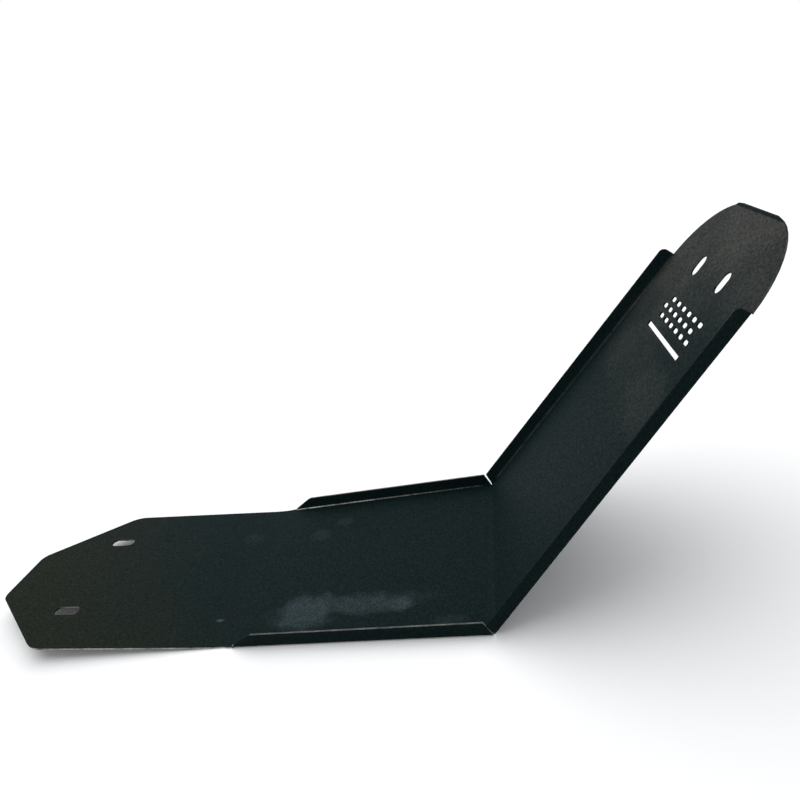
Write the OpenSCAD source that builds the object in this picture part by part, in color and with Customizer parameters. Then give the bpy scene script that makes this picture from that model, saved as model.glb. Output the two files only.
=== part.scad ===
// Motorcycle skid plate: one folded and powder-coated steel sheet.
// The base lies flat, the front plate rises from the fold along +X and the tail runs back along -X.

/* [Sheet and bends] */
// Thickness of the steel sheet
sheet_t = 1.2; // [1:0.1:2]
// Inside radius of the side flange bends
flange_r = 1.2; // [1:0.1:2]
// Inside radius of the main fold
fold_r = 8; // [5:1:10]
// Inside radius of the gentle bend that lifts the tail
tail_bend_r = 200; // [100:10:400]

/* [Base] */
// Width over the flanges at the main fold
fold_w = 181; // [172:1:200]
// Width over the flanges at their rear ends
base_rear_w = 171; // [170:0.5:180]
// Length of the flanged base, from the inside corner of the fold to the rear ends of its flanges
base_l = 188; // [150:1:230]
// Height of the base flanges over the underside
base_flange_h = 11.9; // [10:0.1:18]
// Outward lean of the base flanges in degrees
base_flange_lean = 1; // [0:1:10]
// Length of the sloped rear end of each base flange
base_flange_slope = 16; // [10:1:30]
// Radius of the upper corner of that slope
base_flange_r = 10; // [2:1:20]
// Width of the cut between base flange and front flange
corner_gap = 1.2; // [1:0.1:2]
// Width of the relief slit between a flange end and the fold curve
corner_relief = 1; // [0.8:0.1:1.6]

/* [Tail] */
// Width of the tail
tail_w = 169; // [150:1:169]
// Length of the tail along the sheet, from the rear ends of the flanges
tail_l = 235; // [200:1:280]
// Length of the ramp where the edge steps in behind each flange
ramp_l = 9; // [5:1:15]
// Rise of the tail in degrees
tail_angle = 4.4; // [2:0.1:6]
// Length of each tapered side of the tail
taper_l = 68; // [50:1:90]
// Width of the tail's end edge between its corners
tail_end_w = 54; // [40:1:90]
// Radius of the corners at the end of the tail
tail_end_r = 12; // [4:1:16]
// Radius of the shoulders where the taper starts
shoulder_r = 24; // [10:1:40]

/* [Front plate] */
// Angle of the front plate over the base in degrees
fold_angle = 49.3; // [40:0.1:58]
// Length of the front flanges from the inside corner of the fold
front_flange_l = 244.5; // [200:0.5:280]
// Inward taper of each side of the front plate in degrees
front_taper = 4.3; // [1:0.1:6]
// Height of the front flanges over the outer face
front_flange_h = 10.2; // [10:0.1:17]
// Outward lean of the front flanges in degrees
front_flange_lean = 16; // [0:1:20]
// Radius of the free corner of each front flange
front_flange_r = 4; // [2:0.5:7]
// Radius of the tip's rounded sides
tip_r = 53; // [46:1:60]
// Turn inwards where the tip's outline leaves each flange, in degrees
tip_turn = 2; // [0:0.5:5]
// Length of the lip along the sheet, past its bend
lip_l = 1.2; // [1:0.1:4]
// Inside radius of the lip's bend
lip_r = 2; // [1.5:0.5:4]
// Angle of the lip against the front plate in degrees
lip_angle = 40; // [20:1:60]

/* [Fastener slots] */
// Width of every fastener slot
slot_w = 9; // [6:0.5:10]
// Length of the tail slots over their round ends
tail_slot_l = 22; // [14:0.5:30]
// Distance between the two tail slots
tail_slot_pitch = 89; // [70:1:104]
// Distance of the tail slots' centres from the tail's end edge
tail_slot_back = 73; // [68:0.5:90]
// Length of the front slots over their round ends
front_slot_l = 14; // [11:0.5:20]
// Distance between the two front slots
front_slot_pitch = 44; // [36:1:60]
// Distance of the front slots' centres from the inside corner of the fold
front_slot_at = 248; // [236:1:258]

/* [Vents] */
// Sideways shift of all the vents from the middle
vent_shift = -4.5; // [-6:0.5:6]
// Length of the straight bar vent across the plate
bar_l = 70; // [50:1:90]
// Width of the bar vent
bar_w = 3.2; // [2:0.2:4]
// Distance of the bar vent from the front slots' centres
bar_back = 47; // [44:1:70]
// Small vents in each row
vent_count = 6; // [3:1:8]
// Rows of small vents
vent_rows = 3; // [1:1:3]
// Distance between small vents across the plate
vent_pitch = 10.8; // [9:0.2:12]
// Distance between the rows
vent_row_pitch = 6.2; // [4.6:0.2:6.6]
// Length of a small vent, across the plate
vent_l = 7.6; // [4:0.2:8]
// Width of a small vent
vent_w = 3.2; // [1.6:0.2:3.6]
// Distance from the bar vent to the first row of small vents
vent_from_bar = 9.6; // [7:0.2:12]

/* [Hidden] */
$fn = 96;

// Steps of an arc that is drawn as a row of points
arc_steps = 12;
// Width of the flat strip that each flange is bent up from
strip_w = 8;
// Overshoot of a cutting tool past what it cuts
over = 1;
// Half size of a cutting block
big = 400;
// Greatest angle at which a bend's curve crosses its two flats, so that they join cleanly
blend_limit = 3;

// Outside radii of the flange bend and of the fold
flange_out = flange_r + sheet_t;
fold_out = fold_r + sheet_t;
// Length from the fold's inside corner to the start of its curve
fold_tangent = fold_r * tan(fold_angle / 2);
base_flat_l = base_l - fold_tangent;
front_flat_l = front_flange_l - fold_tangent;
base_taper = atan((fold_w - base_rear_w) / 2 / base_l);

// The tail's bend starts behind the ramp, and its axis lies over the sheet
tail_bend_x = base_flat_l + ramp_l;
tail_axis_z = tail_bend_r + sheet_t;
tail_bend_l = tail_bend_r * tail_angle * PI / 180;
tail_flat_l = tail_l - ramp_l - tail_bend_l;
tail_slot_x = tail_flat_l - tail_slot_back;
// Lengths along the tail as seen from above
tail_bend_run = tail_axis_z * sin(tail_angle);
tail_flat_run = tail_flat_l * cos(tail_angle);
taper_run = taper_l * cos(tail_angle);

// Half widths of the front plate's outline
front_half = fold_w / 2;
tip_root_half = front_half - front_flange_l * tan(front_taper);
// Direction from the arc's centre to its start at the flange end, and that centre
tip_start = 90 - front_taper - tip_turn;
tip_c = [front_flat_l, tip_root_half] - tip_r * [cos(tip_start), sin(tip_start)];
tip_end_x = tip_c.x + tip_r;

// The lip's edge, seen square to the plate, ends just inside the tip's outline, which cuts its corners
lip_reach = (lip_r + sheet_t) * sin(lip_angle) + lip_l * cos(lip_angle);
lip_end_x = tip_end_x - 0.3;
lip_x = lip_end_x - lip_reach;
lip_axis_z = lip_r + sheet_t;

// Extent along X, from which the origin is set under the middle of the part
tail_end_x = tail_bend_x + tail_bend_run + tail_flat_run;
lip_top_z = lip_axis_z - (lip_r + sheet_t) * cos(lip_angle) + lip_l * sin(lip_angle);
front_end_x = lip_end_x * cos(fold_angle) + (fold_out - lip_top_z) * sin(fold_angle);
origin_x = (front_end_x - tail_end_x) / 2;

function unit(v) = v / norm(v);

// Points of an arc round c
function arc(c, r, from, sweep) =
    [for (i = [0:arc_steps]) c + r * [cos(from + sweep * i / arc_steps), sin(from + sweep * i / arc_steps)]];

// Arc that rounds corner p between its neighbours a and b
function corner(a, p, b, r) =
    let (
        u = unit(a - p),
        v = unit(b - p),
        half = acos(u * v) / 2,
        c = p + unit(u + v) * r / sin(half),
        start = p + u * r / tan(half) - c,
        end = p + v * r / tan(half) - c,
        from = atan2(start.y, start.x),
        sweep = (atan2(end.y, end.x) - from + 540) % 360 - 180
    )
    r == 0 ? [p] : arc(c, r, from, sweep);

// Outline through pts, with each corner rounded by its own radius
function rounded(pts, radii) =
    let (n = len(pts))
    [for (i = [0:n - 1]) each corner(pts[(i + n - 1) % n], pts[i], pts[(i + 1) % n], radii[i])];

// Closed outline from its half at positive y
function both_sides(half) =
    concat(half, [for (i = [len(half) - 1:-1:0]) [half[i].x, -half[i].y]]);

module both_hands() {
    children();
    mirror([0, 1, 0]) children();
}

// Places the front plate, drawn flat along +X, at the end of the main fold
module on_front() {
    translate([0, 0, fold_out])
        rotate([0, -fold_angle, 0])
            translate([0, 0, -fold_out])
                children();
}

// Places the tail, drawn flat along -X, at the end of its gentle bend
module on_tail() {
    translate([-tail_bend_x, 0, tail_axis_z])
        rotate([0, tail_angle, 0])
            translate([0, 0, -tail_axis_z])
                children();
}

function blend_angle(angle) = min(angle / 8, blend_limit);

// How far a flat runs on into its bend, past the point where the bend's curve starts
function blend(r, angle) = (r + sheet_t / 2) * tan(blend_angle(angle));

// Side view of a bend round an axis at the origin, from straight down towards +X
module bend_profile(r, angle) {
    close = cos(blend_angle(angle));
    low = r + sheet_t;
    intersection() {
        difference() {
            circle(r = low / close);
            circle(r = r / close);
        }
        polygon([[0, 0], [0, -big], big * [sin(angle), -cos(angle)]]);
        translate([-big, -low])
            square([2 * big, big]);
        rotate(angle)
            translate([-big, -low])
                square([2 * big, big]);
    }
}

// Side view of the lip and its bend, drawn from the start of the bend
module lip_profile() {
    reach = blend(lip_r, lip_angle);
    translate([0, lip_axis_z]) {
        bend_profile(lip_r, lip_angle);
        rotate(lip_angle)
            translate([-reach, -lip_axis_z])
                square([lip_l + reach, sheet_t]);
    }
}

// Side view of the tail, drawn towards +X from the start of its bend
module tail_profile() {
    reach = blend(tail_bend_r, tail_angle);
    translate([0, tail_axis_z]) {
        bend_profile(tail_bend_r, tail_angle);
        rotate(tail_angle)
            translate([-reach, -tail_axis_z])
                square([tail_flat_l + reach + over, sheet_t]);
    }
}

// Stands a side view up and gives it its width across the plate
module across(width) {
    translate([0, width / 2, 0])
        rotate([90, 0, 0])
            linear_extrude(width)
                children();
}

module slot(length, width) {
    translate([0, 0, -over])
        linear_extrude(sheet_t + 2 * over)
            union() {
                square([length - width, width], center = true);
                for (side = [-1, 1])
                    translate([side * (length - width) / 2, 0])
                        circle(d = width);
            }
}

// Cross-section of a strip, its bend and its flange, with the outer face at y = 0
module flange_section(height, lean) {
    c = [-flange_out, flange_out];
    rise = (height + over - flange_out * (1 - sin(lean))) / cos(lean);
    up = rise * [sin(lean), cos(lean)];
    outer = arc(c, flange_out, -90, 90 - lean);
    inner = arc(c, flange_r, -lean, lean - 90);
    polygon(concat(
        [[-flange_out - strip_w, 0]],
        outer,
        [outer[arc_steps] + up, inner[0] + up],
        inner,
        [[-flange_out - strip_w, sheet_t]]
    ));
}

// Places what runs along X on a tapered edge, which meets the fold's inside corner at half the fold's width.
// The side is 1 for the base and -1 for the front plate, as it is below.
module on_edge(side) {
    translate([side * fold_tangent, fold_w / 2, 0])
        rotate([0, 0, side > 0 ? base_taper : -front_taper])
            children();
}

// Flange on its strip of flat sheet, from the fold along one edge
module flange_bar(side, length, height, lean) {
    on_edge(side)
        translate([side > 0 ? -length - over : -fold_out, 0, 0])
            rotate([90, 0, 90])
                linear_extrude(length + over + fold_out)
                    flange_section(height, lean);
}

// Flat sheet on both edges, which meets in the middle
module flat_sheet(side, length) {
    both_hands()
        on_edge(side)
            translate([side > 0 ? -length : -fold_out, -fold_w, 0])
                cube([length + fold_out, fold_w + strip_w, sheet_t]);
}

// Space past the plane that halves the fold, with half the corner gap.
// The side is 1 for a flange of the base, and -1 for one of the front plate.
module past_corner(side) {
    translate([0, 0, fold_out])
        rotate([0, -side * fold_angle / 2, 0])
            translate([side * (big - corner_gap) / 2, 0, 0])
                cube([big, big, big], center = true);
}

// Block that clears the flat strip from the curve of the fold, up to the relief slit
module strip_clearance(side) {
    reach = blend(fold_r, fold_angle);
    translate([side > 0 ? reach : -big - reach, 0, -over])
        cube([big, fold_w / 2 - flange_out + corner_relief / 2, sheet_t + 2 * over]);
}

// Side view of a base flange with its sloped rear end
module base_flange_profile() {
    polygon(rounded(
        [
            [-base_flat_l, -over],
            [-base_flat_l, sheet_t + over],
            [base_flange_slope - base_flat_l, base_flange_h],
            [fold_out, base_flange_h],
            [fold_out, -over]
        ],
        [0, 0, base_flange_r, 0, 0]
    ));
}

// Side view of a front flange with its square upper end
module front_flange_profile() {
    polygon(rounded(
        [
            [-fold_out, -over],
            [-fold_out, front_flange_h],
            [front_flat_l, front_flange_h],
            [front_flat_l, -over]
        ],
        [0, 0, front_flange_r, 0]
    ));
}

module base_flange() {
    difference() {
        intersection() {
            flange_bar(1, base_l, base_flange_h, base_flange_lean);
            across(big) base_flange_profile();
        }
        past_corner(1);
        strip_clearance(1);
    }
}

module front_flange() {
    difference() {
        intersection() {
            flange_bar(-1, front_flange_l, front_flange_h, front_flange_lean);
            across(big) front_flange_profile();
        }
        past_corner(-1);
        strip_clearance(-1);
    }
}

// Outline of the base from above, without the strips under its flanges but with the ramps behind them
module base_outline() {
    inset = flange_out + strip_w / 2;
    polygon(both_sides([
        [blend(fold_r, fold_angle), fold_w / 2 - inset],
        [-base_flat_l, base_rear_w / 2 - inset],
        [-base_flat_l, base_rear_w / 2],
        [-tail_bend_x, tail_w / 2],
        [-tail_bend_x - blend(tail_bend_r, tail_angle), tail_w / 2]
    ]));
}

// Outline of the tail from above
module tail_outline() {
    end_x = -tail_bend_x - tail_bend_run - tail_flat_run;
    half = rounded(
        [
            [over - tail_bend_x, 0],
            [over - tail_bend_x, tail_w / 2],
            [end_x + taper_run, tail_w / 2],
            [end_x, tail_end_w / 2],
            [end_x, 0]
        ],
        [0, 0, shoulder_r, tail_end_r, 0]
    );
    polygon(both_sides([for (p = half) if (p.y > 0) p]));
}

// Outline of the front plate, without the strips under its flanges, and on to the tip
module front_outline() {
    inset = flange_out + strip_w / 2;
    polygon(both_sides(concat(
        [
            [-blend(fold_r, fold_angle), front_half - inset],
            [front_flat_l, tip_root_half - inset]
        ],
        arc(tip_c, tip_r, tip_start, -tip_start)
    )));
}

// Keeps what lies inside an outline
module cut_to_outline() {
    intersection() {
        children([1:$children - 1]);
        translate([0, 0, -over])
            linear_extrude(big)
                children(0);
    }
}

module base_sheet() {
    cut_to_outline() {
        base_outline();
        flat_sheet(1, base_l + big / 4);
    }
}

module tail_sheet() {
    cut_to_outline() {
        tail_outline();
        translate([-tail_bend_x, 0, 0])
            mirror([1, 0, 0])
                across(fold_w) tail_profile();
    }
}

module front_sheet() {
    cut_to_outline() {
        front_outline();
        intersection() {
            flat_sheet(-1, front_flange_l + big / 4);
            translate([-big, -big, -over])
                cube([big + lip_x + blend(lip_r, lip_angle), 2 * big, sheet_t + 2 * over]);
        }
        translate([lip_x, 0, 0])
            across(fold_w) lip_profile();
    }
}

// The curve of the main fold, which leaves a relief slit at each end
module fold() {
    translate([0, 0, fold_out])
        across(fold_w - 2 * flange_out - corner_relief)
            bend_profile(fold_r, fold_angle);
}

// Fastener slots of the tail
module tail_openings() {
    both_hands()
        translate([-tail_slot_x, tail_slot_pitch / 2, 0])
            slot(tail_slot_l, slot_w);
}

// Fastener slots, bar vent and staggered rows of small vents
module front_openings() {
    both_hands()
        translate([front_slot_at - fold_tangent, front_slot_pitch / 2, 0])
            slot(front_slot_l, slot_w);
    translate([front_slot_at - bar_back - fold_tangent, vent_shift, 0])
        rotate([0, 0, 90]) {
            translate([-bar_l / 2, -bar_w / 2, -over])
                cube([bar_l, bar_w, sheet_t + 2 * over]);
            for (row = [0:vent_rows - 1])
                translate([(row % 2 - 1 / 2) * vent_pitch / 2, -vent_from_bar - row * vent_row_pitch, 0])
                    for (i = [0:vent_count - 1])
                        translate([(i - (vent_count - 1) / 2) * vent_pitch, 0, 0])
                            slot(vent_l, vent_w);
        }
}

module skid_plate() {
    color("#23282a")
        translate([-origin_x, 0, 0]) {
            difference() {
                tail_sheet();
                on_tail() tail_openings();
            }
            base_sheet();
            both_hands() base_flange();
            fold();
            on_front() {
                difference() {
                    front_sheet();
                    front_openings();
                }
                both_hands() front_flange();
            }
        }
}

skid_plate();
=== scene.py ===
import bmesh
import bpy
from mathutils import Matrix, Vector

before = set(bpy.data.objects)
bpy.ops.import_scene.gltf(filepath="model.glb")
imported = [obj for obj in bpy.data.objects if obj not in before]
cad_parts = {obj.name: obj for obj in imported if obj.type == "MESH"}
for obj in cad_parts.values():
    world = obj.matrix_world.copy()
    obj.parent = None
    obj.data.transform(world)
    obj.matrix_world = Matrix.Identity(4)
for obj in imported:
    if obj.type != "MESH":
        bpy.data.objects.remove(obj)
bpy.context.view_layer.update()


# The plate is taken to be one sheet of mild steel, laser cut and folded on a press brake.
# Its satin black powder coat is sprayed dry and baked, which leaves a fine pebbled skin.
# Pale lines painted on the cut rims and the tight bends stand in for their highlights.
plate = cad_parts["skid_plate"]
MM = 0.001

# The inside corner of the main fold, the way up the front plate, and the way out of its inner face
FOLD_CORNER = Vector((0.11634, 0.0, 0.0012))
FRONT_UP = Vector((0.652098, 0.0, 0.758134))
FRONT_OUT = Vector((-0.758134, 0.0, 0.652098))

COAT_BLACK = "#101d1e"
COAT_BROWN = "#1a2019"
# Painted sheen on the raised end of the front plate, also the colour of the paler patches on it
COAT_SHEEN_AND_PATCH = "#3a3b39"
COAT_SMEAR = "#3c484c"
# Pale lines painted as highlights on rims, cut sides, bends and the seam
EDGE_HIGHLIGHT = "#c4c2ba"
COAT_ROUGHNESS = 0.6
ROUGHNESS_SPREAD = 0.1
# A real coat's is typically 0.5. This was set far lower to match the photo's flat black in this white
# room, so the plate may look duller than real powder coat under other light
COAT_SPECULAR = 0.028

# The pebbles of such a coat are typically a few tenths of a millimetre wide, too fine for the photo
# to show. The grain and the flecks are drawn coarser, so that they show in the render
GRAIN_MM = 0.9
GRAIN_DEPTH_MM = 0.08
GRAIN_STRENGTH = 0.5
FLECK_MM = 1.6
FLECK_DARK, FLECK_LIGHT = 0.62, 1.38
# Slow unevenness, which also makes the edges of the haze and of the browning wander
MOTTLE_MM = 55.0
WANDER_MM = 35.0
# Noise keeps to its middle range, so a ramp between these takes in nearly all of it
NOISE_LOW, NOISE_HIGH = 0.3, 0.7


def srgb(colour):
    """Turns a hex colour, as a picture shows it, to the linear values of a shader."""
    parts = [int(colour[i : i + 2], 16) / 255 for i in (1, 3, 5)]
    return [c / 12.92 if c <= 0.04045 else ((c + 0.055) / 1.055) ** 2.4 for c in parts] + [1.0]


def add(tree, kind, settings=None, **links):
    """Adds a node and returns the output in use. A link is named after its input, or _ and its number."""
    node = tree.nodes.new(kind)
    for name, value in (settings or {}).items():
        setattr(node, name, value)
    for name, value in links.items():
        socket = node.inputs[int(name[1:]) if name[1:].isdigit() else name.replace("_", " ")]
        if isinstance(value, bpy.types.NodeSocket):
            tree.links.new(value, socket)
        else:
            socket.default_value = value
    return next((output for output in node.outputs if output.enabled), None)


def new_tree(name):
    """Starts a material and returns it with its empty node tree."""
    material = bpy.data.materials.new(name)
    material.use_nodes = True
    material.node_tree.nodes.clear()
    return material, material.node_tree


MATH = "ShaderNodeMath"
VECTOR_MATH = "ShaderNodeVectorMath"
RAMP = "ShaderNodeMapRange"
NOISE = "ShaderNodeTexNoise"
MIX = "ShaderNodeMix"
SPLIT = "ShaderNodeSeparateXYZ"
COLOUR = {"data_type": "RGBA"}
SMOOTH = {"interpolation_type": "SMOOTHSTEP"}
PLUS = {"operation": "ADD"}
MINUS = {"operation": "SUBTRACT"}
TIMES = {"operation": "MULTIPLY"}
LARGER = {"operation": "MAXIMUM"}
SIZE_OF = {"operation": "ABSOLUTE"}
DOT = {"operation": "DOT_PRODUCT"}

# Where a point of the plate lies, in mm, and which way its face looks
coat, tree = new_tree("satin_black_powder_coat")
place = add(tree, "ShaderNodeTexCoord").node.outputs["Object"]
facing = add(tree, "ShaderNodeNewGeometry").node.outputs["True Normal"]
in_mm = add(tree, VECTOR_MATH, {"operation": "SCALE"}, _0=place, _3=1 / MM)
x, y, z = add(tree, SPLIT, _0=in_mm).node.outputs
face_x, face_y, face_z = add(tree, SPLIT, _0=facing).node.outputs
from_middle = add(tree, MATH, SIZE_OF, _0=y)
endways = add(tree, MATH, SIZE_OF, _0=face_x)
sideways = add(tree, MATH, SIZE_OF, _0=face_y)

# Distance up the front plate from the fold's inside corner, height over its inner face,
# and how squarely a face looks out of the plate
from_fold = add(tree, VECTOR_MATH, MINUS, _0=in_mm, _1=FOLD_CORNER / MM)
up_front = add(tree, VECTOR_MATH, DOT, _0=from_fold, _1=FRONT_UP)
over_front = add(tree, VECTOR_MATH, DOT, _0=from_fold, _1=FRONT_OUT)
face_out = add(tree, VECTOR_MATH, DOT, _0=facing, _1=FRONT_OUT)
base_face = add(tree, RAMP, _0=face_z, _1=0.8, _2=0.9)
front_face = add(tree, RAMP, _0=face_out, _1=0.93, _2=0.98)

# Slow unevenness of the sprayed coat, and its fine pebbled skin
mottle = add(tree, NOISE, Vector=place, Scale=1 / (MOTTLE_MM * MM), Detail=3.0)
fleck = add(tree, NOISE, Vector=place, Scale=1 / (FLECK_MM * MM), Detail=2.0)
grain = add(tree, NOISE, Vector=place, Scale=1 / (GRAIN_MM * MM), Detail=3.0)
wander = add(tree, RAMP, _0=mottle, _1=NOISE_LOW, _2=NOISE_HIGH, _3=-WANDER_MM, _4=WANDER_MM)

# The tail has browned a little, and sooner towards its right side
BROWN_STARTS_X, BROWN_FULL_X = -90.0, -290.0
BROWN_LEAN = 0.8
along_tail = add(tree, MATH, PLUS, _0=x, _1=wander)
along_tail = add(tree, MATH, {"operation": "MULTIPLY_ADD"}, _0=y, _1=BROWN_LEAN, _2=along_tail)
browned = add(tree, RAMP, SMOOTH, _0=along_tail, _1=BROWN_STARTS_X, _2=BROWN_FULL_X)
colour = add(tree, MIX, COLOUR, _0=browned, _6=srgb(COAT_BLACK), _7=srgb(COAT_BROWN))

# A painted sheen lightens the raised end of the front plate, on its flat inner face only
SHEEN_STARTS_UP, SHEEN_FULL_UP = 160.0, 290.0
SHEEN_LEAN = 0.4
SHEEN_CURVE = 1.8
along_front = add(tree, MATH, PLUS, _0=up_front, _1=wander)
along_front = add(tree, MATH, {"operation": "MULTIPLY_ADD"}, _0=y, _1=SHEEN_LEAN, _2=along_front)
painted_sheen = add(tree, RAMP, _0=along_front, _1=SHEEN_STARTS_UP, _2=SHEEN_FULL_UP)
painted_sheen = add(tree, MATH, {"operation": "POWER"}, _0=painted_sheen, _1=SHEEN_CURVE)
painted_sheen = add(tree, MATH, TIMES, _0=painted_sheen, _1=front_face)
colour = add(tree, MIX, COLOUR, _0=painted_sheen, _6=colour, _7=srgb(COAT_SHEEN_AND_PATCH))

# A dull smear lies beside the right base flange, with fainter ones and a scratch.
# A paler patch crosses the middle of the front plate. Each is an oval with a ragged edge,
# given by its centre and half sizes in mm and by its strength
BASE_MARKS = (
    ((-25.0, -56.0), (27.0, 18.0), 0.52),
    ((22.0, -51.0), (42.0, 11.0), 0.4),
    ((50.0, -54.0), (12.0, 8.0), 0.55),
    ((90.0, -74.0), (14.0, 5.0), 0.14),
    ((-36.0, 38.0), (11.0, 9.0), 0.14),
    ((-18.0, 56.0), (9.0, 7.0), 0.14),
    ((-101.0, 42.0), (10.0, 7.0), 0.09),
    ((-93.0, -58.0), (4.0, 2.0), 1.0),
)
FRONT_MARKS = (
    ((168.0, -38.0), (22.0, 32.0), 0.28),
    ((170.0, 14.0), (22.0, 50.0), 0.12),
    ((271.0, 34.0), (7.0, 4.0), 0.5),
)
# In half sizes from a mark's centre: where it ends, where it is full, and how ragged that is
MARK_ENDS, MARK_FULL = 1.25, 0.45
MARK_RAGGED = 0.3
RAGGED_MM = 18.0
ragged = add(tree, NOISE, Vector=place, Scale=1 / (RAGGED_MM * MM), Detail=4.0)
ragged = add(tree, RAMP, _0=ragged, _1=NOISE_LOW, _2=NOISE_HIGH, _3=-MARK_RAGGED, _4=MARK_RAGGED)
on_front = add(tree, "ShaderNodeCombineXYZ", _0=up_front, _1=y)
for where, face, mark_colour, marks in (
    (in_mm, base_face, COAT_SMEAR, BASE_MARKS),
    (on_front, front_face, COAT_SHEEN_AND_PATCH, FRONT_MARKS),
):
    marked = 0.0
    for (centre_a, centre_b), (half_a, half_b), strength in marks:
        spot = add(tree, VECTOR_MATH, MINUS, _0=where, _1=(centre_a, centre_b, 0.0))
        spot = add(tree, VECTOR_MATH, TIMES, _0=spot, _1=(1 / half_a, 1 / half_b, 0.0))
        spot = add(tree, VECTOR_MATH, {"operation": "LENGTH"}, _0=spot)
        spot = add(tree, MATH, PLUS, _0=spot, _1=ragged)
        spot = add(tree, RAMP, SMOOTH, _0=spot, _1=MARK_ENDS, _2=MARK_FULL, _3=0.0, _4=strength)
        marked = add(tree, MATH, LARGER, _0=marked, _1=spot)
    marked = add(tree, MATH, TIMES, _0=marked, _1=face)
    colour = add(tree, MIX, COLOUR, _0=marked, _6=colour, _7=srgb(mark_colour))

# Pale lines painted along rims, cut sides, bends and the seam stand in for their highlights. Each has its
# strength and the bounds that it lies within.
# A bound is a value, where the line begins to show, and where it shows in full. Places are in mm
BESIDE_BASE = (from_middle, 79.0, 80.0)
BESIDE_FRONT = (from_middle, 66.0, 67.0)
BASE_BEND = ((face_z, 0.2, 0.4), (face_z, 0.96, 0.88), (z, 3.0, 2.4), BESIDE_BASE)
FRONT_BEND = ((face_out, 0.2, 0.4), (face_out, 0.96, 0.88), (over_front, 2.0, 1.4), BESIDE_FRONT)
PAINTED_HIGHLIGHTS = (
    # Top rims of the base flanges
    (0.22, ((z, 11.6, 11.8), BESIDE_BASE, (x, -76.0, -74.0), (x, 113.0, 111.0))),
    # Cut sides of the tail, and the walls of its slots
    (1.0, ((sideways, 0.7, 0.8), (x, -71.0, -72.0), (from_middle, 60.0, 61.0))),
    (0.5, ((sideways, 0.8, 0.9), (x, -200.0, -202.0), (from_middle, 60.0, 59.0))),
    # Inner bends of the base flanges, a painted highlight that is strongest towards the rear
    (1.0, (*BASE_BEND, (x, 90.0, -70.0))),
    (0.15, (*BASE_BEND, (x, 108.0, 104.0))),
    # The seam between the flanges, painted as a highlight
    (0.5, ((endways, 0.86, 0.9), BESIDE_BASE, (x, 108.0, 110.0), (x, 126.0, 123.0))),
    # Inner bends of the front flanges
    (0.07, (*FRONT_BEND, (up_front, 8.0, 12.0))),
    # Right cut side of the round tip
    (0.15, ((face_y, -0.4, -0.6), (up_front, 244.0, 246.0), (over_front, 0.6, 0.2))),
)
painted_highlight = 0.0
for strength, bounds in PAINTED_HIGHLIGHTS:
    line = strength
    for value, begins, full in bounds:
        within = add(tree, RAMP, _0=value, _1=begins, _2=full)
        line = add(tree, MATH, TIMES, _0=line, _1=within)
    painted_highlight = add(tree, MATH, LARGER, _0=painted_highlight, _1=line)

# The painted highlights are patchy along each line, and nowhere fade by more than about half
PATCHY_MM = 9.0
PATCHY_LEAST = 0.45
patchy = add(tree, NOISE, Vector=place, Scale=1 / (PATCHY_MM * MM), Detail=3.0)
patchy = add(tree, RAMP, _0=patchy, _1=0.35, _2=0.6, _3=PATCHY_LEAST, _4=1.0)
painted_highlight = add(tree, MATH, TIMES, _0=painted_highlight, _1=patchy)
colour = add(tree, MIX, COLOUR, _0=painted_highlight, _6=colour, _7=srgb(EDGE_HIGHLIGHT))

# The tops of the pebbles are drawn lighter and a little smoother than the hollows between them
lighter = add(tree, RAMP, _0=fleck, _1=NOISE_LOW, _2=NOISE_HIGH, _3=FLECK_DARK, _4=FLECK_LIGHT)
colour = add(tree, "ShaderNodeHueSaturation", Value=lighter, Color=colour)
rough = add(
    tree,
    RAMP,
    _0=fleck,
    _1=NOISE_LOW,
    _2=NOISE_HIGH,
    _3=COAT_ROUGHNESS + ROUGHNESS_SPREAD,
    _4=COAT_ROUGHNESS - ROUGHNESS_SPREAD,
)
skin = add(tree, "ShaderNodeBump", Height=grain, Strength=GRAIN_STRENGTH, Distance=GRAIN_DEPTH_MM * MM)
shader = add(
    tree,
    "ShaderNodeBsdfPrincipled",
    Base_Color=colour,
    Roughness=rough,
    Specular_IOR_Level=COAT_SPECULAR,
    Normal=skin,
)
add(tree, "ShaderNodeOutputMaterial", Surface=shader)
plate.data.materials.clear()
plate.data.materials.append(coat)


# The plate lies on a wide sheet of pale studio paper.
# The eye and reflections see the paper white. It throws only weak light back at the plate.
FLOOR_HALF = 12.0
PAPER_SEEN = "#ffffff"
PAPER_BOUNCE = "#808080"

sheet = bmesh.new()
bmesh.ops.create_grid(sheet, x_segments=1, y_segments=1, size=FLOOR_HALF)
floor_mesh = bpy.data.meshes.new("floor")
sheet.to_mesh(floor_mesh)
sheet.free()
floor = bpy.data.objects.new("floor", floor_mesh)
bpy.context.scene.collection.objects.link(floor)

paper, tree = new_tree("studio_paper")
ray = add(tree, "ShaderNodeLightPath").node.outputs
seen = add(tree, MATH, LARGER, _0=ray["Is Camera Ray"], _1=ray["Is Glossy Ray"])
seen = add(tree, MATH, LARGER, _0=seen, _1=ray["Is Transmission Ray"])
bounce = add(tree, "ShaderNodeBsdfDiffuse", Color=srgb(PAPER_BOUNCE))
white = add(tree, "ShaderNodeBsdfDiffuse", Color=srgb(PAPER_SEEN))
both = add(tree, "ShaderNodeMixShader", _0=seen, _1=bounce, _2=white)
add(tree, "ShaderNodeOutputMaterial", Surface=both)
floor.data.materials.append(paper)


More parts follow.
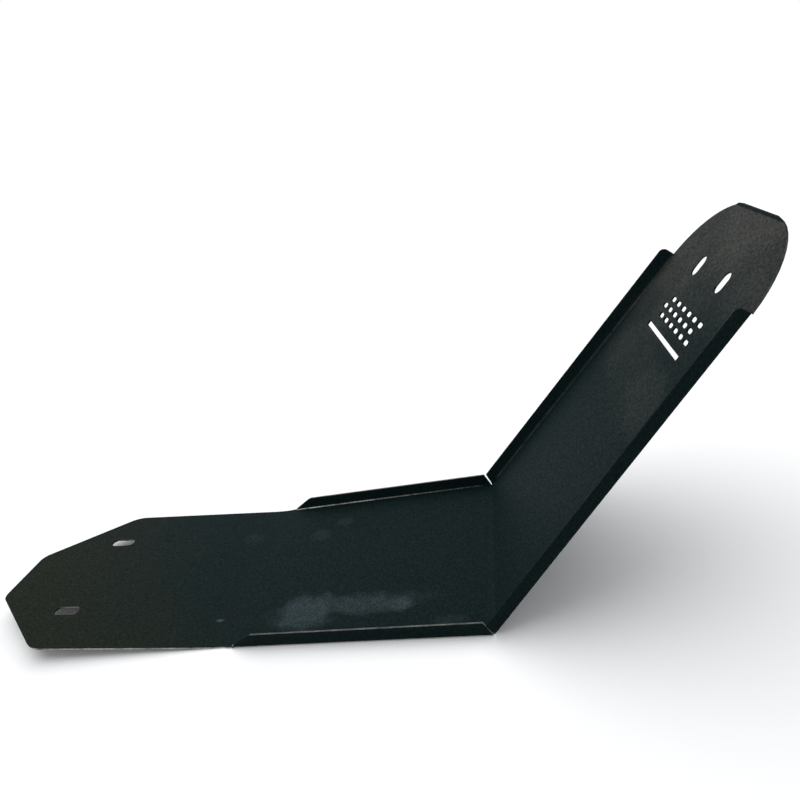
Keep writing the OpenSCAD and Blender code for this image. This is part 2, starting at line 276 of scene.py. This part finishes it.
# The camera stands where the photograph was taken, close to the plate and a little over it.
# Its place is given from the inside corner of the fold.
CAMERA_FROM_CORNER = Vector((0.04407, -0.39532, 0.30736))
CAMERA_RIGHT = Vector((0.96881, 0.12449, -0.21425))
CAMERA_DOWN = Vector((-0.14366, -0.42233, -0.89499))
CAMERA_AHEAD = Vector((-0.2019, 0.89785, -0.39127))
LENS_PIXELS = 620.0
FRAME_PIXELS = 800
SENSOR_MM = 36.0
NEAREST_SEEN = 0.01

camera_data = bpy.data.cameras.new("camera")
camera_data.sensor_width = SENSOR_MM
camera_data.lens = LENS_PIXELS / FRAME_PIXELS * SENSOR_MM
camera_data.clip_start = NEAREST_SEEN
camera = bpy.data.objects.new("camera", camera_data)
turn = Matrix((CAMERA_RIGHT, -CAMERA_DOWN, -CAMERA_AHEAD)).transposed()
camera.matrix_world = Matrix.Translation(FOLD_CORNER + CAMERA_FROM_CORNER) @ turn.to_4x4()
bpy.context.scene.collection.objects.link(camera)
bpy.context.scene.camera = camera


# Plain soft light falls from a wide round diffuser overhead, a little behind the plate.
# It lights the flat faces more than the upright ones. The room is pale at eye level and dim above.
DIFFUSER_POWER = 2.0
DIFFUSER_ANGLE = 1.5
DIFFUSER_FROM = Vector((-0.3, 0.5, 1.4))
ROOM_PALE = "#ffffff"
ROOM_DIM = "#9a9ea1"
# Heights on a round room of radius 1, between which pale turns to dim
PALE_BELOW, DIM_ABOVE = 0.42, 0.62

diffuser_data = bpy.data.lights.new("overhead_diffuser", "SUN")
diffuser_data.energy = DIFFUSER_POWER
diffuser_data.angle = DIFFUSER_ANGLE
diffuser = bpy.data.objects.new("overhead_diffuser", diffuser_data)
diffuser.rotation_euler = DIFFUSER_FROM.to_track_quat("Z", "Y").to_euler()
bpy.context.scene.collection.objects.link(diffuser)

room = bpy.data.worlds.new("studio_room")
room.use_nodes = True
tree = room.node_tree
tree.nodes.clear()
direction = add(tree, "ShaderNodeTexCoord").node.outputs["Generated"]
height = add(tree, SPLIT, _0=direction).node.outputs["Z"]
raised = add(tree, RAMP, SMOOTH, _0=height, _1=PALE_BELOW, _2=DIM_ABOVE)
shade = add(tree, MIX, COLOUR, _0=raised, _6=srgb(ROOM_PALE), _7=srgb(ROOM_DIM))
glow = add(tree, "ShaderNodeBackground", Color=shade, Strength=1.0)
add(tree, "ShaderNodeOutputWorld", Surface=glow)
bpy.context.scene.world = room
bpy.context.scene.view_settings.view_transform = "Standard"
